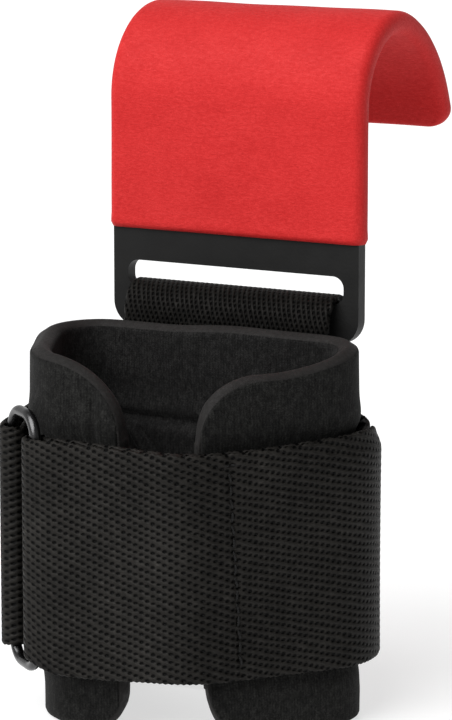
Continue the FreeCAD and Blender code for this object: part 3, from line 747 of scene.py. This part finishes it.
def hook_centre_line(low, tip):
    """Middle of the plate in the side view, as (Y, Z) points with outward normals.

    It goes from the height low up and round both bends, and ends tip beyond them.
    """
    front = node_box("hook_plate")[0][1]
    centre = np.array([front + FIRST_BEND, BEND_HEIGHT])
    second = centre + (FIRST_BEND - SECOND_BEND) * compass(BENDS_MEET)
    points = [np.array([front + PLATE_HALF, height]) for height in np.arange(low, BEND_HEIGHT - 0.5, 1.2)]
    normals = [np.array([-1.0, 0.0])] * len(points)
    for middle, radius, start, stop in ((centre, FIRST_BEND, 180, BENDS_MEET),
                                        (second, SECOND_BEND, BENDS_MEET - 1.4, BENDS_END)):
        count = math.ceil(math.radians(start - stop) * radius)
        for out in compass(np.linspace(start, stop, count + 1)):
            points.append(middle + out * (radius - PLATE_HALF))
            normals.append(out)
    start, out = points[-1], normals[-1]
    corner = tip - TIP_CORNER * (1 - np.sin(np.radians(np.arange(0, 91, 6))))
    for distance in [1.2, 2.4, *corner]:
        points.append(start + np.array([out[1], -out[0]]) * distance)
        normals.append(out)
    return np.array(points), np.array(normals)


def cover_ring(half_width, half_thick, edge_radius):
    """Rounded section of the cover: (x, thickness) points, counterclockwise."""
    across_count, corner_count = 44, 7
    edge_radius = min(edge_radius, half_thick - 0.02)
    flat = half_width - edge_radius
    ring = []
    for number, (sx, sy) in enumerate(((1, 1), (-1, 1), (-1, -1), (1, -1))):
        centre = np.array([sx * flat, sy * (half_thick - edge_radius)])
        ring.extend(centre + edge_radius * compass(90 * number + np.linspace(0, 90, corner_count)))
        if number in (0, 2):
            ring.extend((x * sy, sy * half_thick) for x in np.linspace(flat, -flat, across_count)[1:-1])
    return np.array(ring)


def make_cover():
    """Red sleeve over the plate, with rounded edges, a soft lip at its lower end and a round-cornered tip."""
    low, high = node_box("hook_cover")
    half_width = (high[0] - low[0]) / 2
    points, normals = hook_centre_line(low[2], TIP_RUN)
    along = lengths(points)

    def place(index, x, thick):
        """A ring of the cover round one point of the plate's line."""
        (y, z), (ny, nz) = points[index], normals[index]
        return np.stack([x, y + ny * thick, z + nz * thick], 1)

    rings = []
    for index, distance in enumerate(along):
        left = along[-1] - distance
        pull, thin = rounded(left, TIP_CORNER, TIP_CORNER), rounded(left, 1.5, 1.5)
        lip, bead = rounded(distance, 0.8, 0.35), 0.16 * bell(distance, 1.6, 1.3)
        half_thick = COVER_HALF - thin * 0.75 - lip + bead
        ring = cover_ring(half_width - pull - lip + bead * 0.5, half_thick, COVER_EDGE)
        x, thick = ring.T
        wave = 0.07 * np.sin(x / 9.0 + distance / 14.0) + 0.05 * np.sin(x / 4.1 - distance / 6.0)
        rings.append(place(index, x, thick + wave * np.sign(thick)))
    # The cavity ends a little short of the tip's round corners.
    hollow = cover_ring(half_width - COVER_WALL, COVER_HALF - COVER_WALL, 0.6)
    last = int(np.searchsorted(along, along[-1] - TIP_CORNER - 1.0))
    inner = [place(index, *hollow.T) for index in range(last, -1, -1)]
    # The list goes from inside the tip, down the cavity, round the lip and up the outside to the tip.
    stack = np.array(inner + rings)
    rows, columns = stack.shape[:2]
    faces = tube_faces(rows, columns)
    faces.append(numbers(0, columns))
    faces.append(numbers((rows - 1) * columns, columns)[::-1])
    dress(make_object("hook_rubber_cover", stack.reshape(-1, 3), faces, RED_RUBBER),
          "hook", "hook_cover")


# ---- webbing pieces

LOOP_THICK = 2.0
LOOP_LEAN = 38.0        # lean of the rear leg where it leaves the bar, in degrees
LOOP_STEP = 0.58        # between the points of the hook's webbing
LEGS_LOW = 26.0         # lower end of its legs
LEFT_OUT, RIGHT_OUT = 0.6, 0.3    # how far its left and right edges stand out past the CAD's


def make_hook_webbing():
    """Webbing folded round the plate's lower bar, its two legs sewn together behind the pad."""
    low, high = node_box("hook_webbing")
    hinge = next(joint for joint in frame["record"]["behaviour"]["joints"] if joint["name"] == "hook_swing")
    axis = np.array(hinge["pos_m"][1:]) / MM
    front = low[1] + LOOP_THICK / 2
    back, radius = front + LOOP_THICK, axis[0] - front
    points, normals = [], []

    def line(start, stop, normal):
        start, stop = np.array(start), np.array(stop)
        count = math.ceil(np.linalg.norm(stop - start) / LOOP_STEP)
        for share in np.linspace(0, 1, count + 1)[:-1]:
            points.append(start * (1 - share) + stop * share)
            normals.append(normal)

    line((front, LEGS_LOW), (front, axis[1]), (-1, 0))
    count = math.ceil(math.radians(180 + LOOP_LEAN) * radius / LOOP_STEP)
    for out in compass(np.linspace(180, -LOOP_LEAN, count + 1)[:-1]):
        points.append(axis + out * radius)
        normals.append(out)
    out = compass(-LOOP_LEAN)
    leave = axis + out * radius
    meet = (back, leave[1] - (leave[0] - back) / math.tan(math.radians(LOOP_LEAN)))
    line(leave, meet, out)
    line(meet, (back, LEGS_LOW), (1, 0))
    points, normals = np.array(points), np.array(normals)
    # Ease the bend where the rear leg meets the front one.
    for _ in range(14):
        ease(points, 1)
        ease(normals, 1)
    sway = 0.25 * np.sin(lengths(points) / 9.0)
    points, normals = np.insert(points, 0, 0, axis=1), np.insert(unit(normals), 0, 0, axis=1)
    # Its material is the webbing with painted shade, darker all over.
    piece = webbing("hook_webbing_loop", points, normals, (1, 0, 0), low[0] - LEFT_OUT + sway,
                    high[0] + RIGHT_OUT + sway, LOOP_THICK - 0.1, SHADED_LOOP_WEBBING, fine=1.3)
    dress(piece, "cuff", "hook_webbing")


def fold_points(degrees, start, stop):
    """Points and outward normals round one of the ring's bars.

    degrees is where the bar lies round its post, and start and stop are measured from there.
    """
    x, y, radius = STRAP_POSTS[FRONT_LEFT]
    centre = np.array([x, y]) + compass(degrees) * (radius + STRAP_THICK + FOLD_RADIUS)
    out = compass(degrees + np.linspace(start, stop, 17))
    return centre + out * (FOLD_RADIUS + STRAP_THICK / 2), out


def sagged(along, low, high, behind):
    """Edges of the closing strap: the upper one dips at the front, and goes up by behind at the back."""
    dip = -1.5 * smooth(along / 58.0) + 1.5 * smooth((along - 72.0) / 38.0)
    return low - 0.8 * bell(along, 27.0, 16.0), high + dip + behind * smooth((along - 110.0) / 14.0)


def narrowed(along, at, reach, low, high, fold_low):
    """Edges of a strip that draws in from its full width to a fold at one place along it."""
    near = 1 - smooth(np.abs(along - at) / reach)
    return low + (fold_low - low) * near, high - 0.4 * near


def seam_offset(height):
    """The tail's seam leans: how far along the strap it lies from its middle, at a height."""
    return 1.6 * (SEAM_MIDDLE - height) / 25


def seam_place():
    """Middle of the tail's seam on the strap's outer face, the way ahead along the strap, and outwards."""
    posts = grow(STRAP_POSTS, [TAPES + 2 * STRAP_THICK] * 4)
    _, (x, y, radius), degrees = on_run(posts, FRONT_RIGHT, SEAM)
    out = np.array([*compass(degrees), 0.0])
    return np.array([x, y, SEAM_MIDDLE]) + out * radius, np.array([-out[1], out[0], 0.0]), out


def bend_about_seam(piece):
    """Bake a piece's placing into its mesh. The stretch either side of the seam is worked out, but nothing
    bends the piece.
    """
    seam, ahead, _ = seam_place()
    reach = ahead * 4.0
    tuple((seam - reach) * MM)
    tuple((seam + reach) * MM)
    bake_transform(piece)


STRAP_FOLD_LOW = 19.9   # the strap's lower edge in its fold round the ring's bar


def make_strap_inner_run():
    """The closing strap's first layer: from the cuff's back round the right side to the ring."""
    points, normals = belt(layer([0] * 4), (FRONT_LEFT, FRONT_BAR), on_run(STRAP_POSTS, 4, 0.53), BELT_STEP)
    points, normals = resample(points, normals, WEFT / 3)
    along = lengths(points)
    edges = sagged(along + 14.0, STRAP_LOW, STRAP_HIGH - 0.2, 1.1)
    edges = narrowed(along, 0, 11.0, *edges, STRAP_FOLD_LOW)
    run = standing_webbing("strap_inner_run", points, normals, edges)
    dress(run, "cuff", "closing_strap")


def make_strap_outer_run():
    """The strap's second layer: round the ring's bar, and back outside the first to the free end."""
    tail = STRAP_THICK + TAPES
    fold, fold_out = fold_points(FRONT_BAR, -180, 0)
    points, normals = belt(layer([tail, tail, FOLDED_OVER, tail]), (FRONT_LEFT, FRONT_BAR), (4, TAIL_END),
                           BELT_STEP)
    # The fold closes on the side of smaller angles, away from the strap's free end.
    points, normals = join([fold, points[1:]]), join([fold_out, normals[1:]])
    points, normals = resample(points, normals, WEFT / 4)
    along = lengths(points)
    low, high = narrowed(along, 5.0, 13.0, *sagged(along, STRAP_LOW, STRAP_HIGH, -0.9), STRAP_FOLD_LOW)
    # The free end's corners are cut round.
    round_end = rounded(along[-1] - along, 5.0, 5.0)
    seam, _, _ = seam_place()
    seam_along = along[np.argmin(np.hypot(*(points - seam[:2]).T))]

    def dent(run, height):
        """The seam pulls the webbing in, and the rest of it waves a little."""
        line = run - seam_along - seam_offset(height)
        pulled = bell(line, 0, 0.9) * (0.7 + 0.3 * np.cos(2 * np.pi * height / 3.3))
        gathered = 0.12 * bell(np.abs(line), 2.4, 1.0)
        wave = 0.22 * np.sin(run / 13.0 + height / 31.0) + 0.10 * np.sin(run / 6.1 - height / 17.0)
        pinched = 1.7 * smooth((run - 86) / 20.0) * smooth((height - STRAP_HIGH + 6.5) / 6.0)
        return gathered - 0.70 * pulled + wave * smooth((run - 12) / 10) * 0.8 - pinched

    def skew(run):
        """Beyond the seam the webbing's weave is drawn straighter."""
        return -0.09 * np.maximum(0, run - seam_along)

    outer = standing_webbing("strap_outer_run", points, normals, (low + round_end, high - round_end),
                             picks=4, dent=dent, skew=skew)
    bend_about_seam(outer)
    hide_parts("strap_tail")


def make_keeper():
    """Short webbing from the cuff's back to the ring's rear bar and back."""
    low, high = node_box("ring_keeper")

    def run(extra):
        posts = layer(extra)
        return belt(posts, on_run(posts, BACK_RIGHT, 0.57), (FRONT_LEFT, REAR_BAR), BELT_STEP)

    second = STRAP_THICK + 0.1
    inner, inner_out = run([0] * 4)
    outer, outer_out = run([second, second, FOLDED_OVER, FOLDED_OVER])
    fold, fold_out = fold_points(REAR_BAR, 180, 0)
    points = join([inner[:-1], fold, outer[::-1][1:]])
    normals = join([-inner_out[:-1], fold_out, outer_out[::-1][1:]])
    points, normals = resample(points, normals, WEFT / 3)
    edges = narrowed(lengths(points), lengths(inner)[-1] + 4.5, 7.0, low[2], high[2], 19.6)
    piece = standing_webbing("ring_keeper_webbing", points, normals, edges, STRAP_THICK - 0.06)
    dress(piece, "cuff", "ring_keeper")


# ---- stitching

THREAD_RADIUS = 0.36
STITCH_PITCH = 3.4      # from one stitch to the next
STITCHED = 0.82         # the share of a row that shows thread; the rest is gaps
DIVE = 0.75             # how far a stitch's ends go down into the cloth


def thread_stitches(name, stitches):
    """Stitches as short arched tubes: each is (start, end, outward), and its ends dive into the cloth."""
    vertices, faces = [], []
    sides, steps = 8, 9
    for start, end, out in stitches:
        length = np.linalg.norm(end - start)
        ahead = (end - start) / length
        across = np.cross(ahead, out)
        base = len(vertices)
        for share in np.linspace(0, 1, steps):
            from_middle = 2 * share - 1
            centre = start + ahead * length * share + out * (0.25 - DIVE * abs(from_middle) ** 3)
            slope = -DIVE * 6 * from_middle ** 2 * np.sign(from_middle) / length
            up = unit(out - ahead * slope)
            size = THREAD_RADIUS * (1 - 0.25 * from_middle ** 4)
            for x, y in compass(np.linspace(0, 360, sides, endpoint=False)):
                vertices.append(centre + (across * x + up * y) * size)
        faces += tube_faces(steps, sides, offset=base)
        faces.append(numbers(base, sides)[::-1])
        faces.append(numbers(base + (steps - 1) * sides, sides))
    return make_object(name, vertices, faces, THREAD)


def row_of_stitches(first, last, out, pitch=STITCH_PITCH, slant=0.0):
    """Stitches end to end along a line, each leaning by slant."""
    first, last, out = (np.array(place, float) for place in (first, last, out))
    count = max(1, int(np.linalg.norm(last - first) // pitch))
    step = (last - first) / count
    found = []
    for number in range(count):
        start = first + step * (number + (1 - STITCHED) / 2)
        sway = slant * (1 if number % 2 else -1)
        found.append((start - sway / 2, start + step * STITCHED + sway / 2, out))
    return found


def sew_tail():
    """A zigzag down the tail's seam, and a short bar across its upper end."""
    seam, ahead, out = seam_place()
    foot, up = seam - out * 0.32, np.array([0, 0, 1.0])
    ends = [foot + ahead * seam_offset(height) + up * (height - SEAM_MIDDLE)
            for height in (STRAP_LOW + 4, STRAP_HIGH - 6)]
    rows = row_of_stitches(*ends, out, 3.3, ahead * 0.5)
    top = ends[1] + up * 1.6
    rows += row_of_stitches(top - ahead * 2.2, top + ahead * 2.6, out, 2.0)
    piece = thread_stitches("tail_seam_stitches", rows)
    bend_about_seam(piece)
    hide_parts("tail_stitching")


def sew_hook_webbing():
    """Two rows across the hook's webbing, where its legs meet."""
    face = node_box("webbing_stitching")[0][1] - 0.02
    rows = []
    for height in (81.8, 83.7):
        rows += row_of_stitches((-26, face, height), (26, face, height), (0, 1, 0))
    dress(thread_stitches("webbing_seam_stitches", rows), "cuff", "webbing_stitching")


def sew_keeper_fold():
    """Two rows up the keeper, which close its fold behind the ring's rear bar."""
    posts = grow(STRAP_POSTS, [STRAP_THICK + 0.1] * 2 + [FOLDED_OVER] * 2)
    rows = []
    for fraction in (0.62, 0.72):
        _, (x, y, radius), degrees = on_run(posts, BACK_LEFT, fraction)
        out = np.array([*compass(degrees), 0])
        place = np.array([x, y, 0]) + out * (radius + STRAP_THICK - 0.05)
        rows += row_of_stitches(place + [0, 0, STRAP_LOW + 6], place + [0, 0, STRAP_HIGH - 4], out)
    dress(thread_stitches("keeper_fold_stitches", rows), "cuff", "keeper_fold_stitching")


def sew_anchor(node, name):
    """A box of stitches with a cross in it, which holds a strip's end at the cuff's back."""
    low, high = node_box(node)
    face = low[1] - 0.08
    corners = [np.array([x, face, z]) for x, z in ((low[0], low[2]), (high[0], low[2]),
                                                   (high[0], high[2]), (low[0], high[2]))]
    lines = list(zip(corners, corners[1:] + corners[:1]))
    for start, end in ((corners[0], corners[2]), (corners[1], corners[3])):
        middle, inset = (start + end) / 2, (end - start) * 0.02
        lines += [(start + inset, middle), (middle, end - inset)]
    rows = []
    for start, end in lines:
        rows += row_of_stitches(start, end, (0, 1, 0))
    dress(thread_stitches(name, rows), "cuff", node)


# ---- stage, light and camera

def make_stage():
    """A pale floor, and a world that is bright behind the object."""
    bpy.ops.mesh.primitive_plane_add(size=8, location=(0, 0, 0))
    floor = bpy.context.object
    floor.name = "floor"
    pale = Shader("pale_floor", Base_Color=(0.42, 0.42, 0.42, 1), Roughness=0.9, Specular_IOR_Level=0.1,
                  Emission_Color=(1, 1, 1, 1), Emission_Strength=0.65)
    floor.data.materials.append(pale.material)
    world = bpy.data.worlds.new("soft_studio")
    world.use_nodes = True
    tree = world.node_tree
    # It is dimmer overhead and in front, where only the key lights the object.
    facing = add_node(tree, "ShaderNodeVectorMath", operation="DOT_PRODUCT")
    feed(tree, facing.inputs[0], add_node(tree, "ShaderNodeTexCoord").outputs["Generated"])
    feed(tree, facing.inputs[1], (-0.45, 0.45, -0.77))
    share = add_node(tree, "ShaderNodeMapRange", interpolation_type="SMOOTHSTEP", From_Min=-0.6,
                     From_Max=0.5, To_Min=0.16, To_Max=0.72, Value=facing.outputs["Value"])
    background = tree.nodes["Background"]
    feed(tree, background.inputs["Strength"], share.outputs["Result"])
    feed(tree, background.inputs["Color"], (1, 1, 1, 1))
    bpy.context.scene.world = world


def make_key():
    """One wide soft light, from above and in front on the left."""
    data = bpy.data.lights.new("key", "SUN")
    data.energy = 4.0
    data.angle = math.radians(60)
    lamp = add_object("key", data)
    lamp.rotation_euler = Vector((0.42, 1.10, -1.30)).to_track_quat("-Z", "Y").to_euler()


def make_camera():
    """A long lens, a little above the hook and round to its right."""
    azimuth, elevation, distance = math.radians(28.0), math.radians(10.8), 1.006
    target = Vector((0.0006, 0.0038, 0.0922))
    away = Vector((math.sin(azimuth) * math.cos(elevation), -math.cos(azimuth) * math.cos(elevation),
                   math.sin(elevation)))
    data = bpy.data.cameras.new("camera")
    data.sensor_fit = "VERTICAL"
    data.sensor_height = 36.0
    data.lens = 184.65
    data.clip_start = 0.01
    camera = add_object("camera", data)
    camera.location = target + away * distance
    camera.rotation_euler = (-away).to_track_quat("-Z", "Y").to_euler()
    bpy.context.scene.camera = camera


make_camera()
make_stage()
make_key()
bpy.context.scene.view_settings.view_transform = "Standard"

make_pad()
make_cover()
make_hook_webbing()
make_keeper()
make_strap_inner_run()
make_strap_outer_run()
sew_tail()
sew_hook_webbing()
sew_keeper_fold()
sew_anchor("strap_anchor_stitching", "strap_anchor_stitches")
sew_anchor("keeper_anchor_stitching", "keeper_anchor_stitches")
paint("hook_plate", POWDER_COAT)
paint("strap_ring", BLACK_NICKEL)
paint("loop_tape", LOOP_TAPE)
paint("hook_tape", HOOK_TAPE)
